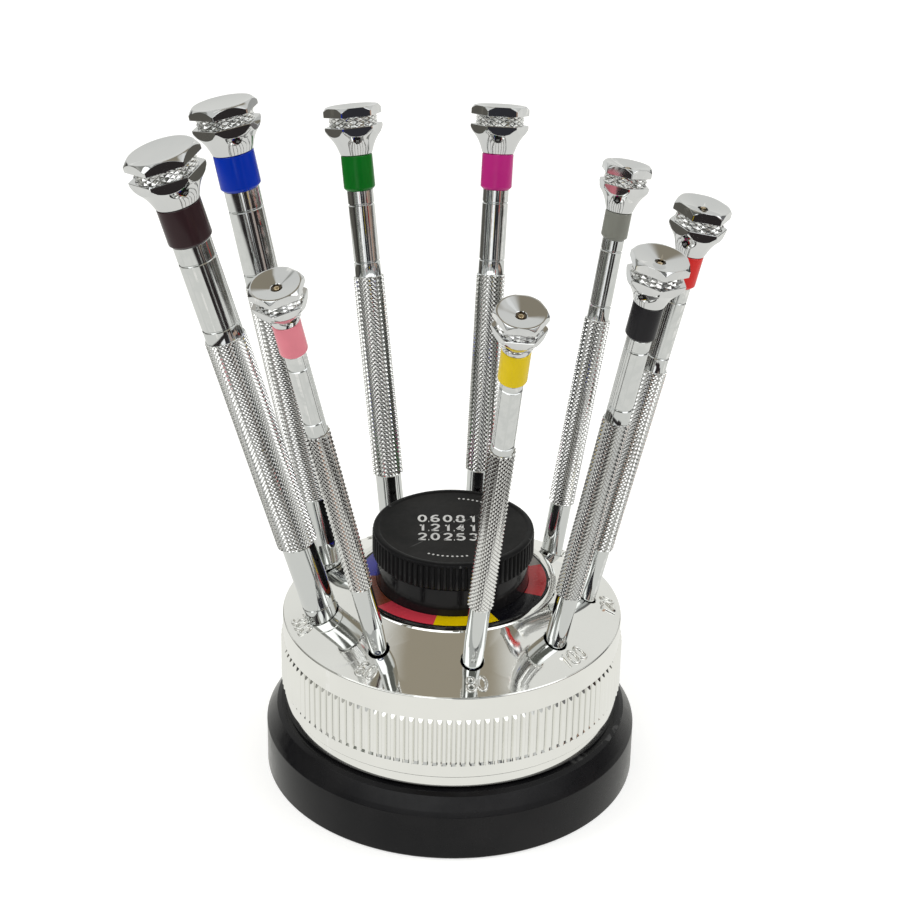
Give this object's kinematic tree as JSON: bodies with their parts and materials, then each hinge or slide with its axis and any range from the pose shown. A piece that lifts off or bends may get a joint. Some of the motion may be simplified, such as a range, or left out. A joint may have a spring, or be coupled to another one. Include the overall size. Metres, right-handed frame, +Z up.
{
  "type": "precision screwdriver set",
  "caption": "Rotating weighted stand with slotted precision screwdrivers leaning outwards in sockets round a screw-cap canister for spare blades; each driver has a swivelling hexagonal head.",
  "frame": {"origin": "centre of the flat underside of the foot ring, on the table", "axes": "+Z up along the turntable axis; -Y towards the front of the set, where the yellow and pink screwdrivers stand; +X to the right seen from the front"},
  "size_m": [0.0882, 0.0882, 0.1094],
  "materials": {
    "chrome_shell": "mirror-bright plated plastic, fine handling scratches",
    "chromed_steel": "polished and chrome plated",
    "blade_steel": "hardened, ground",
    "plain_steel": "turned",
    "screw_metal": "dull, dark",
    "gloss_black": "moulded, glossy",
    "satin_black": "moulded, satin",
    "pad_rubber": "matt",
    "washer_plastic": "smooth, waxy",
    "liner_foam": "soft, closed cell",
    "disc_print": "nine printed colour fields under gloss lacquer; base colour is the yellow field",
    "ring_pink": "moulded colour-code ring, smooth",
    "ring_yellow": "moulded colour-code ring, smooth",
    "ring_black": "moulded colour-code ring, smooth",
    "ring_red": "moulded colour-code ring, smooth",
    "ring_grey": "moulded colour-code ring, smooth",
    "ring_magenta": "moulded colour-code ring, smooth",
    "ring_green": "moulded colour-code ring, smooth",
    "ring_blue": "moulded colour-code ring, smooth",
    "ring_brown": "moulded colour-code ring, smooth"
  },
  "bodies": {
    "base": {"foot_ring": "gloss_black", "ballast_plate": "plain_steel", "base_pad": "pad_rubber", "spindle": "plain_steel", "thrust_washer": "washer_plastic", "retaining_clip": "plain_steel"},
    "turntable": {"carrier_block": "satin_black", "turntable_shell": "chrome_shell", "colour_disc": "disc_print", "canister": "gloss_black", "canister_screws": "plain_steel", "blade_rack": "satin_black", "spare_blades": "blade_steel"},
    "liner_disc": {"cap_liner": "liner_foam"},
    "cap": {"screw_cap": "satin_black"},
    "pink_driver": {"pink_handle": "chromed_steel", "pink_ring": "ring_pink", "pink_blade": "blade_steel", "pink_screws": "screw_metal"},
    "pink_swivel": {"pink_head": "chromed_steel"},
    "yellow_driver": {"yellow_handle": "chromed_steel", "yellow_ring": "ring_yellow", "yellow_blade": "blade_steel", "yellow_screws": "screw_metal"},
    "yellow_swivel": {"yellow_head": "chromed_steel"},
    "black_driver": {"black_handle": "chromed_steel", "black_ring": "ring_black", "black_blade": "blade_steel", "black_screws": "screw_metal"},
    "black_swivel": {"black_head": "chromed_steel"},
    "red_driver": {"red_handle": "chromed_steel", "red_ring": "ring_red", "red_blade": "blade_steel", "red_screws": "screw_metal"},
    "red_swivel": {"red_head": "chromed_steel"},
    "grey_driver": {"grey_handle": "chromed_steel", "grey_ring": "ring_grey", "grey_blade": "blade_steel", "grey_screws": "screw_metal"},
    "grey_swivel": {"grey_head": "chromed_steel"},
    "magenta_driver": {"magenta_handle": "chromed_steel", "magenta_ring": "ring_magenta", "magenta_blade": "blade_steel", "magenta_screws": "screw_metal"},
    "magenta_swivel": {"magenta_head": "chromed_steel"},
    "green_driver": {"green_handle": "chromed_steel", "green_ring": "ring_green", "green_blade": "blade_steel", "green_screws": "screw_metal"},
    "green_swivel": {"green_head": "chromed_steel"},
    "blue_driver": {"blue_handle": "chromed_steel", "blue_ring": "ring_blue", "blue_blade": "blade_steel", "blue_screws": "screw_metal"},
    "blue_swivel": {"blue_head": "chromed_steel"},
    "brown_driver": {"brown_handle": "chromed_steel", "brown_ring": "ring_brown", "brown_blade": "blade_steel", "brown_screws": "screw_metal"},
    "brown_swivel": {"brown_head": "chromed_steel"}
  },
  "joints": [
    {"name": "carousel_spin", "type": "hinge", "parent": "base", "child": "turntable", "pos_m": [0, 0, 0.0116], "axis": [0, 0, 1], "continuous": true},
    {"name": "cap_lift", "type": "slide", "parent": "turntable", "child": "liner_disc", "axis": [0, 0, 1], "range_m": [0, 0.00401]},
    {"name": "cap_turn", "type": "hinge", "parent": "liner_disc", "child": "cap", "pos_m": [0, 0, 0.0417], "axis": [0, 0, 1], "range_deg": [0, 720]},
    {"name": "driver_pink_lift", "type": "slide", "parent": "turntable", "child": "pink_driver", "axis": [-0.1861, -0.2715, 0.9443], "range_m": [0, 0.04]},
    {"name": "driver_pink_swivel", "type": "hinge", "parent": "pink_driver", "child": "pink_swivel", "pos_m": [-0.01146, -0.01796, 0.03059], "axis": [-0.1861, -0.2715, 0.9443], "continuous": true},
    {"name": "driver_yellow_lift", "type": "slide", "parent": "turntable", "child": "yellow_driver", "axis": [0.0666, -0.316, 0.9464], "range_m": [0, 0.04]},
    {"name": "driver_yellow_swivel", "type": "hinge", "parent": "yellow_driver", "child": "yellow_swivel", "pos_m": [0.00285, -0.02101, 0.03059], "axis": [0.0666, -0.316, 0.9464], "continuous": true},
    {"name": "driver_black_lift", "type": "slide", "parent": "turntable", "child": "black_driver", "axis": [0.1744, -0.1195, 0.9774], "range_m": [0, 0.04]},
    {"name": "driver_black_swivel", "type": "hinge", "parent": "black_driver", "child": "black_swivel", "pos_m": [0.01588, -0.01457, 0.03059], "axis": [0.1744, -0.1195, 0.9774], "continuous": true},
    {"name": "driver_red_lift", "type": "slide", "parent": "turntable", "child": "red_driver", "axis": [0.2139, -0.0127, 0.9768], "range_m": [0, 0.04]},
    {"name": "driver_red_swivel", "type": "hinge", "parent": "red_driver", "child": "red_swivel", "pos_m": [0.02133, -0.00085, 0.03059], "axis": [0.2139, -0.0127, 0.9768], "continuous": true},
    {"name": "driver_grey_lift", "type": "slide", "parent": "turntable", "child": "grey_driver", "axis": [0.1522, 0.1123, 0.9819], "range_m": [0, 0.04]},
    {"name": "driver_grey_swivel", "type": "hinge", "parent": "grey_driver", "child": "grey_swivel", "pos_m": [0.01654, 0.01343, 0.03059], "axis": [0.1522, 0.1123, 0.9819], "continuous": true},
    {"name": "driver_magenta_lift", "type": "slide", "parent": "turntable", "child": "magenta_driver", "axis": [0.0414, 0.2368, 0.9707], "range_m": [0, 0.04]},
    {"name": "driver_magenta_swivel", "type": "hinge", "parent": "magenta_driver", "child": "magenta_swivel", "pos_m": [0.00417, 0.02068, 0.03059], "axis": [0.0414, 0.2368, 0.9707], "continuous": true},
    {"name": "driver_green_lift", "type": "slide", "parent": "turntable", "child": "green_driver", "axis": [-0.1029, 0.2135, 0.9715], "range_m": [0, 0.04]},
    {"name": "driver_green_swivel", "type": "hinge", "parent": "green_driver", "child": "green_swivel", "pos_m": [-0.00951, 0.01878, 0.03059], "axis": [-0.1029, 0.2135, 0.9715], "continuous": true},
    {"name": "driver_blue_lift", "type": "slide", "parent": "turntable", "child": "blue_driver", "axis": [-0.2024, 0.0723, 0.9766], "range_m": [0, 0.04]},
    {"name": "driver_blue_swivel", "type": "hinge", "parent": "blue_driver", "child": "blue_swivel", "pos_m": [-0.01998, 0.00807, 0.03059], "axis": [-0.2024, 0.0723, 0.9766], "continuous": true},
    {"name": "driver_brown_lift", "type": "slide", "parent": "turntable", "child": "brown_driver", "axis": [-0.2751, -0.0417, 0.9605], "range_m": [0, 0.04]},
    {"name": "driver_brown_swivel", "type": "hinge", "parent": "brown_driver", "child": "brown_swivel", "pos_m": [-0.02059, -0.00685, 0.03059], "axis": [-0.2751, -0.0417, 0.9605], "continuous": true}
  ],
  "couplings": [
    {"joint": "cap_lift", "follows": "cap_turn", "m_per_rad": 0.00031831}
  ]
}
